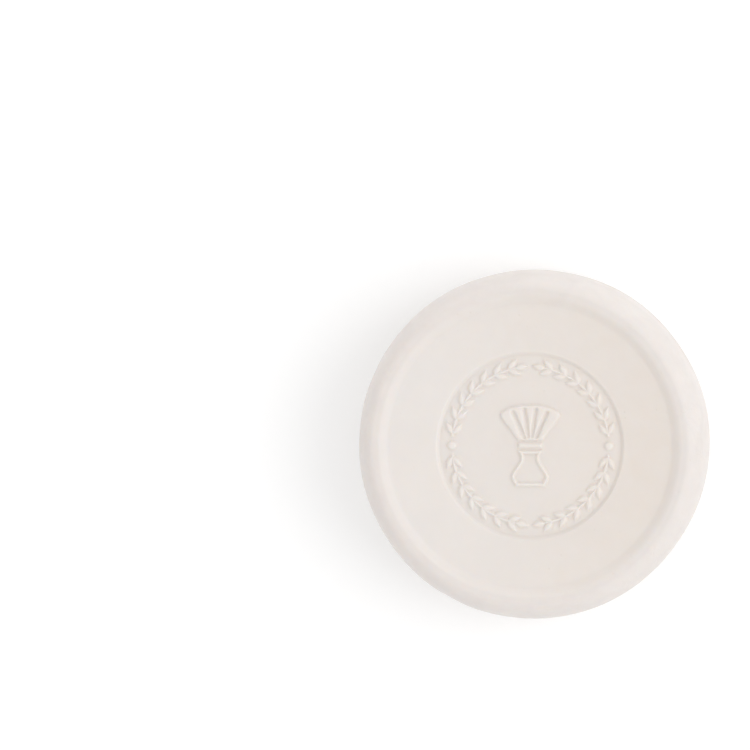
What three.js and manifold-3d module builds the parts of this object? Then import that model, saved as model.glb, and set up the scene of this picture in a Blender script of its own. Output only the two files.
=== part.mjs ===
// A round shaving soap puck, pressed in one piece, lying on its flat back with its stamped face up.
// Millimetres, +Z up. The origin is the centre of the flat back, and +Y is the top of the stamped picture.
//
// The face has a raised round rim, a shallow dish inside it, and a sunk medallion in the middle. On the
// medallion's floor stand a wreath of four leafy sprigs, two beads and a shaving brush, all in low relief.

import * as THREE from "three";
import { mergeVertices } from "three/addons/utils/BufferGeometryUtils.js";
import Module from "manifold-3d";

const wasm = await Module();
wasm.setup();

const { degToRad, lerp } = THREE.MathUtils;

// The puck's body.
const puckDiameter = 60;
const puckHeight = 23.5;
const frontRoundWidth = 3.4; // from the girth in to the rim's crest
const frontRoundHeight = 8; // from the rim's crest down to the girth
const backRoundWidth = 3.2; // from the girth in to the flat back
const backRoundHeight = 6.5; // from the flat back up to the girth
const rimCrestWidth = 0.6; // the crest is a narrow flat ring
const rimSlopeWidth = 2; // from the crest's inner edge in to the dish
const rimRise = 0.8; // the rim's crest over the dish's edge
const dishFall = 0.9; // the dish is a shallow cone, from its edge down to the medallion's edge
const medallionDiameter = 31.9;
const medallionSink = 0.5; // the medallion's edge over its floor
const medallionDraft = 0.35; // how far its wall leans in from top to bottom

// The relief on the medallion's floor.
const reliefRise = 0.4;
const reliefDraft = 0.15; // how far a relief's side leans in from bottom to top
const reliefRoot = 0.4; // how deep a relief is rooted under the floor

// The wreath. A pair of leaves sits at each step along a sprig's stem, and one more leaf ends it.
const leafLength = 2.4;
const leafWidth = 1.1;
const leafBelly = 0.45; // the widest place on a leaf, as a share of its length from the stem
const leafLean = degToRad(33); // from the stem's direction
const leafPitch = 2.55; // along the stem
const tipRun = 1.2; // from the last pair of leaves to the foot of the leaf that ends the sprig
const stemWidth = 0.5;
const wreathMargin = 0.5; // from the leaves' reach out to the medallion's wall
const beadDiameter = 1.5;
const beadGap = 1; // between a bead and the stems beside it
const sprigGap = 0.65; // between the last leaves of two sprigs that meet

// The brush, which fills the height of a round field inside the wreath.
const brushMargin = 4.8; // between the wreath and the brush's field
const handleHeightShare = 0.44; // this and the next four are shares of the brush's height
const handleWidthShare = 0.46;
const collarHeightShare = 0.065;
const collarWidthShare = 0.3;
const knotWidthShare = 0.73;
const brushSeam = 0.42; // between handle and collar, and between collar and knot
const handleStroke = 0.6; // the handle is only an outline
const bristleGrooveWidth = 0.38;
const bristleGrooveShare = 0.76; // of the knot's height
const bristleGrooveAngles = [-24, -8, 8, 24].map(degToRad);

// The right side of the brush's handle and knot, from bottom to top. Each point is a share of half the
// width and a share of the height.
const handleSide = [[0.78, 0], [1, 0.3], [0.52, 0.74], [0.66, 1]];
const knotSide = [[0.42, 0], [0.66, 0.28], [1, 0.68], [0.84, 0.86], [0.45, 0.975], [0, 1]];

// How finely the curves are divided.
const turnSteps = 84;
const roundSteps = 7;
const slopeSteps = 6;
const leafSteps = 4;
const brushSteps = 10;
const stemSteps = 12;

const puckRadius = puckDiameter / 2;
const crestRadius = puckRadius - frontRoundWidth;
const slopeRadius = crestRadius - rimCrestWidth;
const dishRadius = slopeRadius - rimSlopeWidth;
const dishEdgeZ = puckHeight - rimRise;
const medallionRadius = medallionDiameter / 2;
const medallionEdgeZ = dishEdgeZ - dishFall;
const floorRadius = medallionRadius - medallionDraft;
const floorZ = medallionEdgeZ - medallionSink;

// How far a sprig's leaves reach from its stem, with a little over for their rounded bellies.
const leafReach = leafLength * Math.sin(leafLean) + leafWidth / 3;
const stemRadius = floorRadius - wreathMargin - leafReach;
const brushHeight = 2 * (stemRadius - leafReach - brushMargin);
const brushTop = brushHeight / 2;
const handleTop = brushTop - brushHeight * (1 - handleHeightShare);
const collarBottom = handleTop + brushSeam;
const collarTop = collarBottom + brushHeight * collarHeightShare;
const knotBottom = collarTop + brushSeam;

// ---------------------------------------------------------------- body

function quarterRound(centreX, centreY, width, height, fromAngle) {
  const arc = new THREE.EllipseCurve(centreX, centreY, width, height, fromAngle, fromAngle + Math.PI / 2);
  return arc.getPoints(roundSteps);
}

// The rim's inner side, an S-curve from the crest's inner edge down to the dish, without its two ends.
function rimSlope() {
  const points = [];
  for (let step = 1; step < slopeSteps; step += 1) {
    const share = step / slopeSteps;
    const drop = (1 - Math.cos(Math.PI * share)) / 2;
    points.push(new THREE.Vector2(slopeRadius - rimSlopeWidth * share, puckHeight - rimRise * drop));
  }
  return points;
}

function bodyGeometry() {
  const backX = puckRadius - backRoundWidth;
  const frontZ = puckHeight - frontRoundHeight;
  const profile = [
    new THREE.Vector2(0, 0),
    ...quarterRound(backX, backRoundHeight, backRoundWidth, backRoundHeight, -Math.PI / 2),
    ...quarterRound(crestRadius, frontZ, frontRoundWidth, frontRoundHeight, 0),
    new THREE.Vector2(slopeRadius, puckHeight),
    ...rimSlope(),
    new THREE.Vector2(dishRadius, dishEdgeZ),
    new THREE.Vector2(medallionRadius, medallionEdgeZ),
    new THREE.Vector2(floorRadius, floorZ),
    new THREE.Vector2(0, floorZ),
  ];
  // LatheGeometry turns about Y, so the puck's axis is stood up afterwards.
  return new THREE.LatheGeometry(profile, turnSteps).rotateX(Math.PI / 2);
}

// ---------------------------------------------------------------- relief

// Raises an outline from the medallion's floor, with sides that lean in by the draft.
function raise(shape, curveSegments) {
  const geometry = new THREE.ExtrudeGeometry(shape, {
    depth: reliefRoot,
    bevelThickness: reliefRise,
    bevelSize: reliefDraft,
    bevelOffset: -reliefDraft,
    bevelSegments: 1,
    curveSegments,
  });
  return geometry.translate(0, 0, floorZ - reliefRoot);
}

// A leaf with pointed ends, which starts at the origin and lies along +X.
function leafGeometry() {
  const bulge = leafWidth; // a quadratic curve goes half as far out as its middle point
  const leaf = new THREE.Shape();
  leaf.quadraticCurveTo(leafLength * leafBelly, -bulge, leafLength, 0);
  leaf.quadraticCurveTo(leafLength * leafBelly, bulge, 0, 0);
  return raise(leaf, leafSteps);
}

// The sprigs are one sprig mirrored into the four quarters. It runs from beside a bead on the X axis to
// the Y axis, and mirroring turns a direction or place at an angle into the one at the angle given here.
function mirrored(angle, sideX, sideY) {
  return Math.atan2(sideY * Math.sin(angle), sideX * Math.cos(angle));
}

function sprigGeometries(sideX, sideY) {
  const startAngle = (beadDiameter / 2 + beadGap) / stemRadius;
  const tipAngle = Math.PI / 2 - (sprigGap / 2 + leafLength) / stemRadius;
  const from = mirrored(startAngle, sideX, sideY);
  const to = mirrored(tipAngle, sideX, sideY);
  const stem = new THREE.Shape();
  stem.absarc(0, 0, stemRadius + stemWidth / 2, from, to, to < from);
  stem.absarc(0, 0, stemRadius - stemWidth / 2, to, from, to > from);
  const geometries = [raise(stem, stemSteps)];

  const addLeaf = (angle, lean) => {
    const heading = mirrored(angle + Math.PI / 2 + lean, sideX, sideY);
    const foot = mirrored(angle, sideX, sideY);
    const leaf = leafGeometry().rotateZ(heading);
    geometries.push(leaf.translate(stemRadius * Math.cos(foot), stemRadius * Math.sin(foot), 0));
  };
  addLeaf(tipAngle, 0);
  const pitchAngle = leafPitch / stemRadius;
  for (let angle = tipAngle - tipRun / stemRadius; angle > startAngle; angle -= pitchAngle) {
    addLeaf(angle, leafLean);
    addLeaf(angle, -leafLean);
  }
  return geometries;
}

function beadGeometry(side) {
  const bead = new THREE.Shape();
  bead.absarc(0, 0, beadDiameter / 2, 0, 2 * Math.PI, false);
  return raise(bead, stemSteps).translate(side * stemRadius, 0, 0);
}

// An outline symmetrical about X = 0, with a smooth curve through its side's points, drawn in by the inset.
function symmetricalShape(sidePoints, width, bottom, top, inset = 0) {
  const toPlace = ([across, up]) =>
    new THREE.Vector2((across * width) / 2 - inset, lerp(bottom + inset, top - inset, up));
  const right = new THREE.SplineCurve(sidePoints.map(toPlace)).getPoints(brushSteps);
  const left = right.filter((point) => point.x > 0).reverse();
  return new THREE.Shape([...right, ...left.map((point) => new THREE.Vector2(-point.x, point.y))]);
}

function handleGeometry() {
  const width = brushHeight * handleWidthShare;
  const handle = symmetricalShape(handleSide, width, -brushTop, handleTop);
  handle.holes.push(symmetricalShape(handleSide, width, -brushTop, handleTop, handleStroke));
  return raise(handle);
}

function collarGeometry() {
  const half = (brushHeight * collarWidthShare) / 2;
  const corners = [[-half, collarBottom], [half, collarBottom], [half, collarTop], [-half, collarTop]];
  return raise(new THREE.Shape(corners.map(([x, y]) => new THREE.Vector2(x, y))));
}

function knotGeometry() {
  const width = brushHeight * knotWidthShare;
  return raise(symmetricalShape(knotSide, width, knotBottom, brushTop));
}

// A groove between two locks of bristle. The grooves fan out from the top of the handle and stop short
// of the knot's edges, and their cutter passes through the relief's whole height.
function grooveGeometry(angle) {
  const length = (brushTop - knotBottom) * bristleGrooveShare;
  const middle = (knotBottom + brushTop) / 2 - handleTop;
  const groove = new THREE.BoxGeometry(bristleGrooveWidth, length, 2 * reliefRise);
  return groove.translate(0, middle, floorZ + reliefRise).rotateZ(-angle).translate(0, handleTop, 0);
}

// ---------------------------------------------------------------- solids

function toSolid(geometry) {
  geometry.deleteAttribute("normal");
  geometry.deleteAttribute("uv");
  const merged = mergeVertices(geometry);
  const vertProperties = new Float32Array(merged.attributes.position.array);
  const triVerts = new Uint32Array(merged.index.array);
  return new wasm.Manifold(new wasm.Mesh({ numProp: 3, vertProperties, triVerts }));
}

function toGeometry(solid) {
  const mesh = solid.getMesh();
  const geometry = new THREE.BufferGeometry();
  geometry.setAttribute("position", new THREE.BufferAttribute(mesh.vertProperties, 3));
  geometry.setIndex(new THREE.BufferAttribute(mesh.triVerts, 1));
  geometry.computeVertexNormals();
  return geometry;
}

function join(solids) {
  return solids.reduce((whole, solid) => whole.add(solid));
}

function wreathSolid() {
  const geometries = [beadGeometry(-1), beadGeometry(1)];
  for (const sideX of [-1, 1]) {
    for (const sideY of [-1, 1]) {
      geometries.push(...sprigGeometries(sideX, sideY));
    }
  }
  return join(geometries.map(toSolid));
}

function brushSolid() {
  const grooves = join(bristleGrooveAngles.map(grooveGeometry).map(toSolid));
  const knot = toSolid(knotGeometry()).subtract(grooves);
  return join([toSolid(handleGeometry()), toSolid(collarGeometry()), knot]);
}

const soap = new THREE.MeshStandardMaterial({ color: 0xe9e2db, roughness: 0.55, metalness: 0 });
const puckSolid = join([toSolid(bodyGeometry()), wreathSolid(), brushSolid()]);
const puck = new THREE.Mesh(toGeometry(puckSolid), soap);
puck.name = "soap_puck";

const group = new THREE.Group();
group.add(puck);

export default group;
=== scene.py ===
"""A pressed shaving soap puck lying on a pale floor, in soft studio light from the right.

Sizes are in metres. The stamped face looks up, +Z, and the top of its stamped picture is +Y.
"""

import math

import bpy
import numpy as np
from mathutils import Matrix, Vector
from mathutils.geometry import delaunay_2d_cdt


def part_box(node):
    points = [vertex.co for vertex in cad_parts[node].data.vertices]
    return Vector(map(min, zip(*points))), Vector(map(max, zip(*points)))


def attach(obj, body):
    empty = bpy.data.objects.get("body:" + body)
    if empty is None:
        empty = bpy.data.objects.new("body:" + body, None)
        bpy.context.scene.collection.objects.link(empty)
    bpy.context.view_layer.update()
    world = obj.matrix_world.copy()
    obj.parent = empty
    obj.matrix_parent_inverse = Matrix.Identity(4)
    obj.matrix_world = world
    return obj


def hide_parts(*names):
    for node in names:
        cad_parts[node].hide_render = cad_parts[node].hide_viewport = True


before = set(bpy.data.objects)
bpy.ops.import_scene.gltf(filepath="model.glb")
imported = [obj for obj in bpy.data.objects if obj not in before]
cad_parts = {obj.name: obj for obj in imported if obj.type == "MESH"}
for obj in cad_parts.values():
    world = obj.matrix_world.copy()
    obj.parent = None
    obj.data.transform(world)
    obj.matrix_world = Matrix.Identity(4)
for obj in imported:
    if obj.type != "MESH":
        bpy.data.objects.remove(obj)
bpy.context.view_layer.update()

MM = 0.001

# ---------------------------------------------------------------- sizes

PUCK_LOW, PUCK_HIGH = (Vector(corner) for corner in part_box("soap_puck"))
PUCK_RADIUS = (PUCK_HIGH.x - PUCK_LOW.x) / 2
PUCK_HEIGHT = PUCK_HIGH.z - PUCK_LOW.z

# The body, from its girth in to the middle of the stamped face.
FRONT_ROUND_WIDTH = 3.4 * MM
FRONT_ROUND_HEIGHT = 8 * MM
BACK_ROUND_WIDTH = 3.2 * MM
BACK_ROUND_HEIGHT = 6.5 * MM
RIM_CREST_WIDTH = 0.6 * MM
RIM_SLOPE_WIDTH = 2 * MM
RIM_RISE = 0.8 * MM
DISH_FALL = 0.9 * MM
MEDALLION_RADIUS = 15.95 * MM
MEDALLION_SINK = 0.5 * MM
MEDALLION_DRAFT = 0.35 * MM
MEDALLION_EDGE_ROUND = 0.2 * MM

# The relief on the medallion's floor: a wreath of four sprigs, two beads and a brush.
RELIEF_RISE = 0.4 * MM
RELIEF_FLANK = 0.5 * MM  # how wide a relief's rounded side is
FLANK_OUTSIDE = 0.35  # the share of a side that lies outside its outline

LEAF_LENGTH = 2.4 * MM
LEAF_WIDTH = 1.1 * MM
LEAF_BELLY = 0.9  # below 1, a leaf is widest a little before its middle
LEAF_SLANT = 0.85  # the distance to a leaf's side as a share of the distance across to it
LEAF_NEAR = 1.4 * LEAF_LENGTH  # places farther than this from a leaf's foot are left out
LEAF_LEAN = math.radians(33)
LEAF_PITCH = 2.55 * MM
TIP_RUN = 1.2 * MM  # from the last pair of leaves to the foot of the leaf that ends the sprig
STEM_WIDTH = 0.5 * MM
WREATH_MARGIN = 0.5 * MM
BEAD_RADIUS = 0.75 * MM
BEAD_GAP = 1 * MM
SPRIG_GAP = 0.65 * MM

BRUSH_MARGIN = 4.8 * MM
HANDLE_HEIGHT_SHARE = 0.44
HANDLE_WIDTH_SHARE = 0.46
HANDLE_STROKE = 0.62 * MM
COLLAR_HEIGHT_SHARE = 0.065
COLLAR_WIDTH_SHARE = 0.3
KNOT_WIDTH_SHARE = 0.73
BRUSH_SEAM = 0.42 * MM
GROOVE_WIDTH = 0.5 * MM
GROOVE_SHARE = 0.76  # of the knot's height
GROOVE_ANGLES = [math.radians(angle) for angle in (-24, -8, 8, 24)]
HANDLE_SIDE = [(0.78, 0), (1, 0.3), (0.52, 0.74), (0.66, 1)]
KNOT_SIDE = [(0.42, 0), (0.66, 0.28), (1, 0.68), (0.84, 0.86), (0.45, 0.975), (0, 1)]

CREST_RADIUS = PUCK_RADIUS - FRONT_ROUND_WIDTH
SLOPE_RADIUS = CREST_RADIUS - RIM_CREST_WIDTH
DISH_RADIUS = SLOPE_RADIUS - RIM_SLOPE_WIDTH
MEDALLION_EDGE_Z = PUCK_HEIGHT - RIM_RISE - DISH_FALL
FLOOR_RADIUS = MEDALLION_RADIUS - MEDALLION_DRAFT
FLOOR_Z = MEDALLION_EDGE_Z - MEDALLION_SINK
LEAF_REACH = LEAF_LENGTH * math.sin(LEAF_LEAN) + LEAF_WIDTH / 3
STEM_RADIUS = FLOOR_RADIUS - WREATH_MARGIN - LEAF_REACH
BRUSH_HEIGHT = 2 * (STEM_RADIUS - LEAF_REACH - BRUSH_MARGIN)

# The parting line that the die's two halves leave round the girth.
PARTING_Z = 11 * MM
PARTING_RISE = 0.08 * MM
PARTING_WIDTH = 0.22 * MM
PARTING_STRENGTH = 0.6  # its mean, which the slow unevenness raises and lowers
PARTING_DEPTH = 1 * MM  # only points this near to the girth are raised
PARTING_SEED = 3

# The slow unevenness of the soap. It starts over the back, which stays flat.
SWELL_RISE = 0.035 * MM
SWELL_WAVES = 24
SWELL_LENGTHS = (7 * MM, 26 * MM)
SWELL_MEAN = 16 * MM
SWELL_START = 3 * MM
SWELL_SEED = 5

# The small knocks round the outer edge.
KNOCKS = 26
KNOCK_HEIGHTS = (0.55 * PUCK_HEIGHT, 1.1 * PUCK_HEIGHT)
KNOCK_WIDTHS = (0.7 * MM, 2.6 * MM)
KNOCK_DEPTHS = (0.04, 0.09)  # as shares of a knock's width
KNOCK_SEED = 11

# Where its surface is worn smooth and painted paler, a painted highlight, and where its recesses and outer
# side are painted darker as painted shade, and its rim partly so. The widths are across the marks.
CREST_RUB_AND_HIGHLIGHT = 0.8  # the strength of the rim crest's wear and painted highlight, beside 1 for the tops of the reliefs
CREST_RUB_AND_HIGHLIGHT_WIDTH = 1.3 * MM
WALL_FOOT_SHADE_WIDTH = 0.25 * MM
RELIEF_FOOT_SHADE_WIDTH = 0.7 * MM
RIM_TONE_AND_SHADE_WIDTH = 3 * MM
FACE_MARGIN = 0.3 * MM

# How finely the puck is divided.
TURN_STEPS = 480
FINE_STEP = 0.11 * MM
COARSE_STEP = 0.42 * MM
DISH_STEP = 0.6 * MM
SLOPE_STEPS = 12
CREST_STEPS = 5
FRONT_STEPS = 24
SIDE_STEPS = 5
PARTING_STEPS = 9
BACK_STEPS = 14
FLAT_STEPS = 24
LAST_RING = 2 * MM
FIELD_MARGIN = 0.05 * MM  # between the relief's field and the rounded foot of the medallion's wall
LEAST_GAP = 1e-4  # in millimetres: points nearer to each other than this become one
OUTLINE_STEPS = 8
MIDDLE_GAP = 0.01 * MM  # points of the brush nearer to its middle line than this aren't mirrored
EDGE_CLEARANCE = 0.6  # of a grid's spacing, from its outermost places to the circle round it
LEVEL_SHARE = 0.004  # a relief nearer than this to its floor or its top counts as level


def smooth(share):
    """Eases a share from 0 to 1 in and out."""
    share = np.clip(share, 0, 1)
    return share * share * (3 - 2 * share)


def bump_at(distance, width):
    """A round bump: 1 at its middle, and nearly 0 at twice its width from there."""
    return np.exp(-((distance / width) ** 2))


# ---------------------------------------------------------------- profile


def face_height(radius):
    """Height of the stamped face without its relief, from the axis out to the rim's crest."""
    share = (radius - MEDALLION_RADIUS) / (DISH_RADIUS - MEDALLION_RADIUS)
    dish = MEDALLION_EDGE_Z + DISH_FALL * share
    wall_width = MEDALLION_DRAFT + 2 * MEDALLION_EDGE_ROUND
    wall = smooth((radius - FLOOR_RADIUS + MEDALLION_EDGE_ROUND) / wall_width)
    rim = smooth((radius - DISH_RADIUS) / RIM_SLOPE_WIDTH)
    return FLOOR_Z + (dish - FLOOR_Z) * wall + (PUCK_HEIGHT - dish) * rim


def quarter_round(centre_radius, centre_z, width, height, start, steps):
    """Radius and height of the points of a quarter of an ellipse."""
    angles = start + np.linspace(0, math.pi / 2, steps + 1)
    return centre_radius + width * np.cos(angles), centre_z + height * np.sin(angles)


def outer_profile(first_radius):
    """Radius and height of each ring, from the relief's field out over the rim and round to the back."""
    wall = np.arange(first_radius, MEDALLION_RADIUS + 2 * MEDALLION_EDGE_ROUND, FINE_STEP)
    dish = np.arange(wall[-1] + DISH_STEP / 2, DISH_RADIUS - DISH_STEP / 2, DISH_STEP)
    slope = np.linspace(DISH_RADIUS, SLOPE_RADIUS, SLOPE_STEPS)
    crest = np.linspace(SLOPE_RADIUS, CREST_RADIUS, CREST_STEPS)[1:]
    face = np.concatenate([wall, dish, slope, crest])

    front_z = PUCK_HEIGHT - FRONT_ROUND_HEIGHT
    front = (CREST_RADIUS, front_z, FRONT_ROUND_WIDTH, FRONT_ROUND_HEIGHT)
    front_radii, front_heights = quarter_round(*front, 0, FRONT_STEPS)
    back_radius = PUCK_RADIUS - BACK_ROUND_WIDTH
    back = (back_radius, BACK_ROUND_HEIGHT, BACK_ROUND_WIDTH, BACK_ROUND_HEIGHT)
    back_radii, back_heights = quarter_round(*back, -math.pi / 2, BACK_STEPS)

    near_line = PARTING_Z + PARTING_WIDTH * np.linspace(2, -2, PARTING_STEPS)
    above = np.linspace(front_z, near_line[0], SIDE_STEPS)[1:-1]
    below = np.linspace(near_line[-1], BACK_ROUND_HEIGHT, SIDE_STEPS)[1:-1]
    side_z = np.concatenate([above, near_line, below])
    side = np.full(len(side_z), PUCK_RADIUS)
    flat = np.linspace(back_radius, LAST_RING, FLAT_STEPS)[1:]

    radii = [face, front_radii[::-1][1:], side, back_radii[::-1], flat]
    heights = [face_height(face), front_heights[::-1][1:], side_z, back_heights[::-1], np.zeros(len(flat))]
    return np.concatenate(radii), np.concatenate(heights)


# ---------------------------------------------------------------- relief


def spline(points, steps):
    """A smooth curve through the points, as a Catmull-Rom spline."""
    points = [np.array(point) for point in points]
    ends = [2 * points[0] - points[1], *points, 2 * points[-1] - points[-2]]
    curve = []
    for a, b, c, d in zip(ends, ends[1:], ends[2:], ends[3:]):
        for t in np.arange(steps) / steps:
            square = a - 2.5 * b + 2 * c - d / 2
            cube = 1.5 * (b - c) + (d - a) / 2
            curve.append(b + (c - a) * t / 2 + square * t**2 + cube * t**3)
    return np.array([*curve, points[-1]])


def symmetrical(side, width, bottom, top):
    """An outline symmetrical about the brush's middle line, from the points of its right side."""
    right = spline([(x * width / 2, bottom + (top - bottom) * y) for x, y in side], OUTLINE_STEPS)
    left = right[right[:, 0] > MIDDLE_GAP][::-1] * (-1, 1)
    return np.concatenate([right, left])


def depth_inside(places, outline):
    """How far each place is inside a closed outline. It is negative outside."""
    nearest = np.full(len(places), np.inf)
    inside = np.zeros(len(places), bool)
    for start, end in zip(outline, np.roll(outline, -1, axis=0)):
        along = end - start
        offset = places - start
        share = np.clip(offset @ along / (along @ along), 0, 1)
        nearest = np.minimum(nearest, np.linalg.norm(offset - share[:, None] * along, axis=1))
        crosses = (start[1] > places[:, 1]) != (end[1] > places[:, 1])
        if along[1] != 0:
            inside ^= crosses & (offset[:, 0] < along[0] * offset[:, 1] / along[1])
    return np.where(inside, nearest, -nearest)


def leaf_depth(places, foot, heading):
    """Depth inside a leaf that is pointed at both ends."""
    along = (places - foot) @ (math.cos(heading), math.sin(heading))
    across = (places - foot) @ (-math.sin(heading), math.cos(heading))
    half_width = LEAF_WIDTH / 2 * np.sin(math.pi * np.clip(along / LEAF_LENGTH, 0, 1) ** LEAF_BELLY)
    beyond = np.maximum(np.maximum(-along, along - LEAF_LENGTH), 0)
    return (half_width - np.abs(across)) * LEAF_SLANT - beyond


def wreath_depth(places):
    """Depth inside the wreath. All four sprigs are one sprig, as the places are folded into one quarter."""
    folded = np.abs(places)
    angle = np.arctan2(folded[:, 1], folded[:, 0])
    radius = np.linalg.norm(folded, axis=1)
    stem_start = (BEAD_RADIUS + BEAD_GAP) / STEM_RADIUS
    stem_end = math.pi / 2 - (SPRIG_GAP / 2 + LEAF_LENGTH) / STEM_RADIUS
    past = np.maximum(np.maximum(stem_start - angle, angle - stem_end), 0) * STEM_RADIUS
    stem = STEM_WIDTH / 2 - np.hypot(radius - STEM_RADIUS, past)
    bead = BEAD_RADIUS - np.linalg.norm(folded - (STEM_RADIUS, 0), axis=1)
    depth = np.maximum(stem, bead)

    leaves = [(stem_end, 0)]
    foot_angle = stem_end - TIP_RUN / STEM_RADIUS
    while foot_angle > stem_start:
        leaves += [(foot_angle, LEAF_LEAN), (foot_angle, -LEAF_LEAN)]
        foot_angle -= LEAF_PITCH / STEM_RADIUS
    for foot_angle, lean in leaves:
        foot = STEM_RADIUS * np.array([math.cos(foot_angle), math.sin(foot_angle)])
        near = np.linalg.norm(folded - foot, axis=1) < LEAF_NEAR
        leaf = leaf_depth(folded[near], foot, foot_angle + math.pi / 2 + lean)
        depth[near] = np.maximum(depth[near], leaf)
    return depth


def groove_depth(places, pivot, middle, length, angle):
    """Depth inside a groove between two locks of bristle, which fans out from the pivot."""
    offset = places - pivot
    along = offset @ (math.sin(angle), math.cos(angle))
    across = offset @ (math.cos(angle), -math.sin(angle))
    past = np.maximum(np.abs(along - middle) - length / 2, 0)
    return GROOVE_WIDTH / 2 - np.hypot(across, past)


def brush_depth(places):
    """Depth inside the brush: its handle, which is only an outline, its collar and its knot of bristle."""
    top = BRUSH_HEIGHT / 2
    handle_top = top - BRUSH_HEIGHT * (1 - HANDLE_HEIGHT_SHARE)
    handle_outline = symmetrical(HANDLE_SIDE, BRUSH_HEIGHT * HANDLE_WIDTH_SHARE, -top, handle_top)
    handle = depth_inside(places, handle_outline)
    handle = np.minimum(handle, HANDLE_STROKE - handle)

    collar_bottom = handle_top + BRUSH_SEAM
    collar_top = collar_bottom + BRUSH_HEIGHT * COLLAR_HEIGHT_SHARE
    half = BRUSH_HEIGHT * COLLAR_WIDTH_SHARE / 2
    corners = [(-half, collar_bottom), (half, collar_bottom), (half, collar_top), (-half, collar_top)]
    collar = depth_inside(places, np.array(corners))

    knot_bottom = collar_top + BRUSH_SEAM
    knot = depth_inside(places, symmetrical(KNOT_SIDE, BRUSH_HEIGHT * KNOT_WIDTH_SHARE, knot_bottom, top))
    middle = (knot_bottom + top) / 2 - handle_top
    for angle in GROOVE_ANGLES:
        groove = groove_depth(places, (0, handle_top), middle, (top - knot_bottom) * GROOVE_SHARE, angle)
        knot = np.minimum(knot, -groove)
    return np.maximum(np.maximum(handle, collar), knot)


def relief_depth(places):
    """Depth inside any of the reliefs."""
    return np.maximum(wreath_depth(places), brush_depth(places))


def raised_share(depth):
    """How much of its full rise a relief has at a depth inside its outline."""
    return smooth(depth / RELIEF_FLANK + FLANK_OUTSIDE)


# ---------------------------------------------------------------- wear


def swell(points, seed):
    """The slow unevenness of the pressed soap, between about -1 and 1."""
    rng = np.random.default_rng(seed)
    total = np.zeros(len(points))
    for _ in range(SWELL_WAVES):
        direction = rng.normal(size=3)
        direction /= np.linalg.norm(direction)
        wave_length = rng.uniform(*SWELL_LENGTHS)
        start = rng.uniform(0, 2 * math.pi)
        total += wave_length * np.sin(points @ direction * 2 * math.pi / wave_length + start)
    return total / (SWELL_MEAN * math.sqrt(SWELL_WAVES))


def knocks(points):
    """How deep each point is pushed in by the small knocks round the puck's outer edge."""
    rng = np.random.default_rng(KNOCK_SEED)
    pushed = np.zeros(len(points))
    for _ in range(KNOCKS):
        turn = rng.uniform(0, 2 * math.pi)
        height = rng.uniform(*KNOCK_HEIGHTS)
        place = (PUCK_RADIUS * math.cos(turn), PUCK_RADIUS * math.sin(turn), height)
        width = rng.uniform(*KNOCK_WIDTHS)
        deep = rng.uniform(*KNOCK_DEPTHS) * width
        pushed += deep * bump_at(np.linalg.norm(points - place, axis=1), width)
    return pushed


def parting_line(points):
    """How much of the parting line each point has. The line comes and goes round the girth."""
    strength = np.clip(PARTING_STRENGTH * (1 + swell(points, PARTING_SEED)), 0, 1)
    on_side = np.hypot(points[:, 0], points[:, 1]) > PUCK_RADIUS - PARTING_DEPTH
    return strength * on_side * bump_at(points[:, 2] - PARTING_Z, PARTING_WIDTH)


# ---------------------------------------------------------------- mesh


def hexagonal(spacing, radius):
    """Places in a triangular grid that fills a circle, clear of its edge."""
    rows = np.arange(-radius, radius, spacing * math.sqrt(3) / 2)
    columns = np.arange(-radius, radius, spacing)
    x, y = np.meshgrid(columns, rows)
    x = x + (np.arange(len(rows)) % 2)[:, None] * spacing / 2
    places = np.column_stack([x.ravel(), y.ravel()])
    return places[np.linalg.norm(places, axis=1) < radius - spacing * EDGE_CLEARANCE]


def is_level(places):
    """Whether each place is on the medallion's floor or on a relief's top, clear of the reliefs' sides."""
    share = raised_share(relief_depth(places))
    return (share <= LEVEL_SHARE) | (share >= 1 - LEVEL_SHARE)


def field_places(radius):
    """Places inside the relief's field, close together on the relief's sides and far apart elsewhere."""
    fine = hexagonal(FINE_STEP, radius)
    coarse = hexagonal(COARSE_STEP, radius)
    return np.concatenate([fine[~is_level(fine)], coarse[is_level(coarse)]])


def ring_normals(radii, heights):
    """Which way the skin faces at each ring, as outward and upward parts."""
    normals = np.column_stack([-np.gradient(heights), np.gradient(radii)])
    return normals / np.linalg.norm(normals, axis=1)[:, None]


def press_field(circle, radius):
    """Places and triangles of the relief's field. Its first places are the ring that closes it."""
    flat = np.concatenate([circle * radius, field_places(radius)])
    places, _, triangles, *_ = delaunay_2d_cdt([Vector(place) / MM for place in flat], [], [], 0, LEAST_GAP)
    return np.array([tuple(place) for place in places]) * MM, [tuple(face) for face in triangles]


def ring_faces(starts):
    """The faces between one ring and the next, from the number of each ring's first point."""
    faces = []
    for upper, lower in zip(starts, starts[1:]):
        for turn in range(TURN_STEPS):
            after = (turn + 1) % TURN_STEPS
            faces.append((upper + turn, lower + turn, lower + after, upper + after))
    return faces


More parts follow.
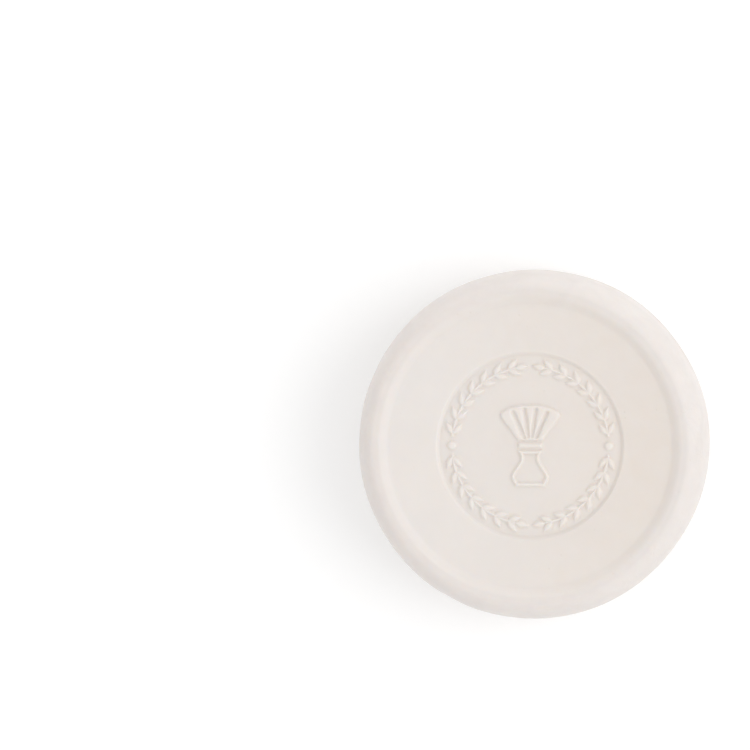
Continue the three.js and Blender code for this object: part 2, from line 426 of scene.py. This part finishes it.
def make_puck():
    """The puck as one closed skin: a triangulated field of relief, then rings out and round to the back."""
    field_radius = FLOOR_RADIUS - MEDALLION_EDGE_ROUND - FIELD_MARGIN
    radii, heights = outer_profile(field_radius)
    turns = np.arange(TURN_STEPS) * 2 * math.pi / TURN_STEPS
    circle = np.column_stack([np.cos(turns), np.sin(turns)])
    places, faces = press_field(circle, field_radius)
    depth = relief_depth(places)
    field = np.column_stack([places, FLOOR_Z + RELIEF_RISE * raised_share(depth)])

    rings = []
    normals = [np.tile([0.0, 0.0, 1.0], (len(field), 1))]
    for radius, height, (out, up) in zip(radii[1:], heights[1:], ring_normals(radii, heights)[1:]):
        rings.append(np.column_stack([circle * radius, np.full(TURN_STEPS, height)]))
        normals.append(np.column_stack([circle * out, np.full(TURN_STEPS, up)]))
    points = np.concatenate([field, *rings, [(0, 0, 0)]])
    normals = np.concatenate([*normals, [(0, 0, -1)]])
    parting = parting_line(points)
    push = SWELL_RISE * swell(points, SWELL_SEED) - knocks(points) + PARTING_RISE * parting
    worn_points = points + normals * (push * smooth(points[:, 2] / SWELL_START))[:, None]

    starts = [0, *(len(field) + TURN_STEPS * ring for ring in range(len(rings)))]
    faces += ring_faces(starts)
    last = len(points) - 1
    for turn in range(TURN_STEPS):
        faces.append((starts[-1] + turn, last, starts[-1] + (turn + 1) % TURN_STEPS))

    mesh = bpy.data.meshes.new("pressed_puck")
    mesh.from_pydata(worn_points.tolist(), [], faces)
    mesh.shade_smooth()
    mesh.update()
    mark_wear_and_shading(mesh, worn_points, depth, parting)
    puck = bpy.data.objects.new("pressed_puck", mesh)
    bpy.context.scene.collection.objects.link(puck)
    return puck


def mark_wear_and_shading(mesh, points, depth, parting):
    """Marks the worn crest and the reliefs' tops, which are smoother and get a painted highlight; the
    recesses and the outer side, which get painted shade; the rim, which is rosier and partly painted shade;
    and the parting line. The depths belong to the field, whose points come first.
    """
    relief = raised_share(depth)
    radius = np.hypot(points[:, 0], points[:, 1])
    on_face = points[:, 2] > FLOOR_Z - FACE_MARGIN
    # Painted highlight: the rim's crest and the reliefs' tops are marked to be painted paler, as well as
    # smoother where worn.
    rubbed_and_highlight = CREST_RUB_AND_HIGHLIGHT * bump_at(radius - CREST_RADIUS, CREST_RUB_AND_HIGHLIGHT_WIDTH)
    rubbed_and_highlight[: len(depth)] = relief
    # Painted shade: the foot of the medallion's wall and the feet of the reliefs are marked to be painted
    # darker.
    recess_shade = bump_at(radius - FLOOR_RADIUS + MEDALLION_EDGE_ROUND, WALL_FOOT_SHADE_WIDTH)
    relief_foot_shade = smooth(1 + depth / RELIEF_FOOT_SHADE_WIDTH) * (1 - relief)
    recess_shade[: len(depth)] = np.maximum(recess_shade[: len(depth)], relief_foot_shade)
    add_marks(mesh, "rubbed_and_highlight", rubbed_and_highlight * on_face)
    add_marks(mesh, "recess_shade", recess_shade * on_face)
    # The rim and all below the face are marked for a rosier colour that is darker than the face, partly
    # painted shade.
    add_marks(mesh, "rim", np.maximum(smooth((radius - DISH_RADIUS) / RIM_TONE_AND_SHADE_WIDTH), 1 - on_face))
    add_marks(mesh, "parting", parting)
    # Painted shade: the outer side is marked to be painted darker still.
    add_marks(mesh, "side", smooth((radius - CREST_RADIUS) / FRONT_ROUND_WIDTH))


def add_marks(mesh, name, values):
    """Stores how strongly each point of the mesh is marked, for the material to read."""
    mesh.attributes.new(name, "FLOAT", "POINT").data.foreach_set("value", values.astype(np.float32))


# ---------------------------------------------------------------- finishes


class Shade:
    """A value in a node tree, which can be used in plain arithmetic."""

    def __init__(self, surface, socket):
        self.surface = surface
        self.socket = socket

    def combine(self, operation, first, second):
        """The result of one step of arithmetic, as a node."""
        return self.surface.node("ShaderNodeMath", {"operation": operation}, {0: first, 1: second})

    def __add__(self, other):
        return self.combine("ADD", self, other)

    def __sub__(self, other):
        return self.combine("SUBTRACT", self, other)

    def __rsub__(self, other):
        return self.combine("SUBTRACT", other, self)

    def __mul__(self, other):
        return self.combine("MULTIPLY", self, other)

    def __pow__(self, other):
        return self.combine("POWER", self, other)

    __radd__ = __add__
    __rmul__ = __mul__


class Surface:
    """The node tree of a material or of the world."""

    def __init__(self, owner):
        owner.use_nodes = True
        self.tree = owner.node_tree

    def node(self, kind, settings, sockets, output=0):
        """Adds a node, makes its settings, then gives its sockets their values or links."""
        node = self.tree.nodes.new(kind)
        for name, value in settings.items():
            setattr(node, name, value)
        self.feed(node, sockets)
        return Shade(self, node.outputs[output])

    def feed(self, node, sockets):
        """Links a node's sockets to values of the tree, or sets them to plain values."""
        for key, value in sockets.items():
            if isinstance(value, Shade):
                self.tree.links.new(value.socket, node.inputs[key])
            else:
                node.inputs[key].default_value = value

    def place(self):
        """Where each place of the surface is, in metres."""
        return self.node("ShaderNodeTexCoord", {}, {}, "Object")

    def clouds(self, size, detail, roughness=0.5, swirl=0.0):
        """Soft noise from 0 to 1, whose patches are about the given size."""
        sockets = {"Vector": self.place(), "Scale": 1 / size, "Detail": detail, "Roughness": roughness}
        sockets["Distortion"] = swirl
        return self.node("ShaderNodeTexNoise", {}, sockets, "Fac")

    def streaks(self, width, shrink):
        """Noise of about the given width, drawn out along Z because its places are shrunk that way."""
        settings = {"operation": "MULTIPLY"}
        drawn = self.node("ShaderNodeVectorMath", settings, {0: self.place(), 1: (1, 1, shrink)}, "Vector")
        return self.node("ShaderNodeTexNoise", {}, {"Vector": drawn, "Scale": 1 / width, "Detail": 2}, "Fac")

    def dots(self, spacing, inner, outer):
        """Round dots that fade out between two radii, given as shares of their spacing."""
        sockets = {"Vector": self.place(), "Scale": 1 / spacing}
        distance = self.node("ShaderNodeTexVoronoi", {}, sockets, "Distance")
        return 1 - self.between(distance, inner, outer)

    def between(self, value, low, high):
        """How far a value is from low to high, as 0 to 1."""
        return self.node("ShaderNodeMapRange", {}, {"Value": value, "From Min": low, "From Max": high})

    def blend(self, share, first, second):
        """A colour that goes from the first to the second as the share rises."""
        return self.node("ShaderNodeMix", {"data_type": "RGBA"}, {0: share, 6: first, 7: second}, 2)

    def along(self, vector, direction):
        """How far a place is along a direction."""
        settings = {"operation": "DOT_PRODUCT"}
        return self.node("ShaderNodeVectorMath", settings, {0: vector, 1: direction}, "Value")

    def marks(self, name):
        """How strongly each place is marked, as add_marks stored it."""
        return self.node("ShaderNodeAttribute", {"attribute_name": name}, {}, "Fac")


COOL_CREAM = (0.776, 0.739, 0.713, 1)
WARM_CREAM = (0.784, 0.714, 0.651, 1)
# The rim's colours: rosier and darker than the face, the darkness partly painted shade.
ROSE_SHADED_CREAM = (0.746, 0.694, 0.667, 1)
PALE_SHADED_CREAM = (0.742, 0.699, 0.675, 1)
MILKY_CREAM = (0.82, 0.773, 0.735, 1)
# Painted shade on the outer side.
SIDE_SHADE_CREAM = (0.69, 0.64, 0.608, 1)
PARTING_CREAM = (0.6, 0.54, 0.49, 1)
# Painted highlight on the worn crest and the reliefs' tops.
RUBBED_HIGHLIGHT_CREAM = (0.8, 0.757, 0.724, 1)
# Painted shade in the recesses and pores; also the colour of the soap's own specks.
SHADE_AND_SPECK_CREAM = (0.76, 0.695, 0.63, 1)

WARM_DIRECTION = (1, 0.08, 0)
DRIFT_REACH = 0.75 * PUCK_RADIUS  # the drift runs this far to each side of the axis
SKIN_DEPTH = 0.04 * MM
GLOW_DEPTH = 1.2 * MM  # how far light goes into the soap


def pressed_soap():
    """Hard white soap: a little cloudy and waxy, smooth where the die pressed it, smoother still and painted
    paler where it is worn, a painted highlight on the rim's crest and the reliefs' tops.

    Its tone drifts from cool to warm across the face. The rim is rosier on its cool side and darker than the
    face, which is partly painted shade. The outer side is darker again, painted shade, and painted shade
    also darkens the feet of the walls and reliefs and the pores.
    """
    material = bpy.data.materials.new("pressed_soap")
    soap = Surface(material)
    across = soap.along(soap.place(), WARM_DIRECTION)
    drift = soap.between(across, -DRIFT_REACH, DRIFT_REACH)
    patches = soap.between(soap.clouds(size=20 * MM, detail=2), 0.3, 0.7)
    warmth = drift * 0.75 + patches * 0.25
    mottle = soap.between(soap.clouds(size=2.6 * MM, detail=4, roughness=0.6), 0.3, 0.7)
    marble = soap.between(soap.clouds(size=9 * MM, detail=3, roughness=0.55, swirl=1.4), 0.35, 0.65)
    speck = soap.between(soap.clouds(size=0.5 * MM, detail=1), 0.66, 0.76)
    porous = soap.between(soap.clouds(size=5 * MM, detail=1), 0.52, 0.6)
    pores = soap.dots(spacing=1.9 * MM, inner=0.05, outer=0.13) * porous
    rubbed_and_highlight = soap.marks("rubbed_and_highlight")
    recess_shade = soap.marks("recess_shade")
    rim = soap.marks("rim")
    side = soap.marks("side")
    worn = soap.between(soap.clouds(size=8 * MM, detail=2), 0.5, 0.62)
    scratched = soap.between(soap.clouds(size=0.9 * MM, detail=3, roughness=0.65), 0.42, 0.6)
    scuffs = rim * worn * scratched

    colour = soap.blend(warmth, COOL_CREAM, WARM_CREAM)
    # The rim is painted rosier and darker, partly painted shade.
    colour = soap.blend(rim, colour, soap.blend(drift, ROSE_SHADED_CREAM, PALE_SHADED_CREAM))
    # Painted shade darkens the outer side.
    colour = soap.blend(side * 0.7, colour, SIDE_SHADE_CREAM)
    colour = soap.blend(soap.marks("parting") * 0.45, colour, PARTING_CREAM)
    colour = soap.blend(mottle * 0.25 + marble * 0.2, colour, MILKY_CREAM)
    # Painted highlight: the worn crest and the reliefs' tops are painted paler.
    colour = soap.blend(rubbed_and_highlight * (0.2 + mottle * 0.2), colour, RUBBED_HIGHLIGHT_CREAM)
    # Painted shade in the recesses and pores, and the soap's own darker specks.
    colour = soap.blend(recess_shade * 0.3 + speck * 0.15 + pores * 0.4, colour, SHADE_AND_SPECK_CREAM)

    handling = soap.clouds(size=7 * MM, detail=4, roughness=0.6)
    roughness = 0.42 + handling * 0.16 + mottle * 0.06 - rubbed_and_highlight * 0.06 + recess_shade * 0.05 + scuffs * 0.12

    grain = soap.clouds(size=0.35 * MM, detail=2, roughness=0.6)
    orange_peel = soap.clouds(size=1.6 * MM, detail=2)
    waves = soap.clouds(size=6 * MM, detail=1)
    drag = side * soap.streaks(width=0.7 * MM, shrink=0.06)
    skin = grain * 0.15 + orange_peel * 0.7 + waves * 1.8 + drag * 1.5 - scuffs * 0.9 - pores * 1.2
    normal = soap.node("ShaderNodeBump", {}, {"Height": skin, "Strength": 0.6, "Distance": SKIN_DEPTH})

    shader = soap.tree.nodes["Principled BSDF"]
    soap.feed(shader, {
        "Base Color": colour,
        "Roughness": roughness,
        "Normal": normal,
        "IOR": 1.45,
        "Subsurface Weight": 0.5,
        "Subsurface Radius": (1.0, 0.8, 0.6),
        "Subsurface Scale": GLOW_DEPTH,
    })
    return material


def floor_paper():
    """Smooth white paper on a softly lit table, which keeps the shadow faint."""
    material = bpy.data.materials.new("floor_paper")
    paper = Surface(material)
    fibre = paper.clouds(size=3 * MM, detail=3)
    shader = paper.tree.nodes["Principled BSDF"]
    paper.feed(shader, {
        "Base Color": (0.96, 0.96, 0.96, 1),
        "Roughness": 0.8 + fibre * 0.1,
        "Emission Color": (1, 1, 1, 1),
        "Emission Strength": FLOOR_GLOW,
    })
    return material


# ---------------------------------------------------------------- floor, light and camera

# A large soft key on the right, even fill from all round, and a strip light so low on the +Y side that
# it only catches the rim.

FLOOR_SIDE = 12.0
FLOOR_GLOW = 0.08
FILL_OVERHEAD = 0.88
FILL_HORIZON = 0.84
BAND_STRENGTH = 0.2
BAND_HEIGHTS = (0.04, 0.1)  # the sines of the angles between which the band fades out
KEY_STRENGTH = 0.78
KEY_AZIMUTH = math.radians(1)
KEY_ELEVATION = math.radians(45)
KEY_SPREAD = math.radians(45)
STRIP_STRENGTH = 0.34
STRIP_AZIMUTH = math.radians(90)
STRIP_ELEVATION = math.radians(0.8)
STRIP_SPREAD = math.radians(3)
CAMERA_TILT = math.radians(5.19)
CAMERA_TURN = math.radians(28.8)
CAMERA_DISTANCE = 0.6924
CAMERA_LENS = 192
CAMERA_SENSOR = 36
AIM_LEFT = 27.64 * MM
AIM_UP = 11.78 * MM


def make_floor():
    """A large square of paper at the height of the puck's back."""
    half = FLOOR_SIDE / 2
    corners = [(-half, -half, 0), (half, -half, 0), (half, half, 0), (-half, half, 0)]
    mesh = bpy.data.meshes.new("floor")
    mesh.from_pydata(corners, [], [(0, 1, 2, 3)])
    mesh.materials.append(floor_paper())
    floor = bpy.data.objects.new("floor", mesh)
    floor.location.z = PUCK_LOW.z
    bpy.context.scene.collection.objects.link(floor)
    return floor


def towards(azimuth, elevation):
    """The direction at an azimuth from +X and an elevation over the floor."""
    flat = math.cos(elevation)
    return Vector((flat * math.cos(azimuth), flat * math.sin(azimuth), math.sin(elevation)))


def make_light(name, strength, azimuth, elevation, spread):
    """A distant light in a direction, as wide as its spread."""
    light = bpy.data.lights.new(name, "SUN")
    light.energy = strength
    light.angle = spread
    lamp = bpy.data.objects.new(name, light)
    lamp.rotation_euler = towards(azimuth, elevation).to_track_quat("Z", "Y").to_euler()
    bpy.context.scene.collection.objects.link(lamp)


def make_fill():
    """Even white light from all round, with a brighter band along the horizon that meets the white floor."""
    world = bpy.data.worlds.new("studio")
    sky = Surface(world)
    direction = sky.node("ShaderNodeTexCoord", {}, {}, "Generated")
    height = sky.node("ShaderNodeSeparateXYZ", {}, {"Vector": direction}, "Z")
    band = 1 - sky.between(height, *BAND_HEIGHTS)
    low = (1 - sky.between(height, 0, 1)) ** 2
    strength = FILL_OVERHEAD + low * (FILL_HORIZON - FILL_OVERHEAD) + band * BAND_STRENGTH
    sky.feed(sky.tree.nodes["Background"], {"Color": (1, 1, 1, 1), "Strength": strength})
    bpy.context.scene.world = world


def make_camera():
    """A long lens nearly on the puck's axis, with the puck right of the middle and a little low."""
    centre = Vector((0, 0, PUCK_HEIGHT / 2))
    toward_camera = towards(CAMERA_TURN, math.pi / 2 - CAMERA_TILT)
    eye = centre + toward_camera * CAMERA_DISTANCE
    right = Vector((0, 1, 0)).cross(toward_camera).normalized()
    aim = centre - right * AIM_LEFT + toward_camera.cross(right) * AIM_UP
    back = (eye - aim).normalized()
    side = Vector((0, 1, 0)).cross(back).normalized()
    data = bpy.data.cameras.new("camera")
    data.lens = CAMERA_LENS
    data.sensor_width = CAMERA_SENSOR
    camera = bpy.data.objects.new("camera", data)
    axes = Matrix((side, back.cross(side), back)).transposed()
    camera.matrix_world = Matrix.Translation(eye) @ axes.to_4x4()
    bpy.context.scene.collection.objects.link(camera)
    bpy.context.scene.camera = camera


# ---------------------------------------------------------------- scene

puck = make_puck()
puck.data.materials.append(pressed_soap())
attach(puck, "root")
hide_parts("soap_puck")
make_floor()
make_fill()
make_light("key", KEY_STRENGTH, KEY_AZIMUTH, KEY_ELEVATION, KEY_SPREAD)
make_light("strip", STRIP_STRENGTH, STRIP_AZIMUTH, STRIP_ELEVATION, STRIP_SPREAD)
make_camera()
bpy.context.scene.view_settings.view_transform = "Standard"
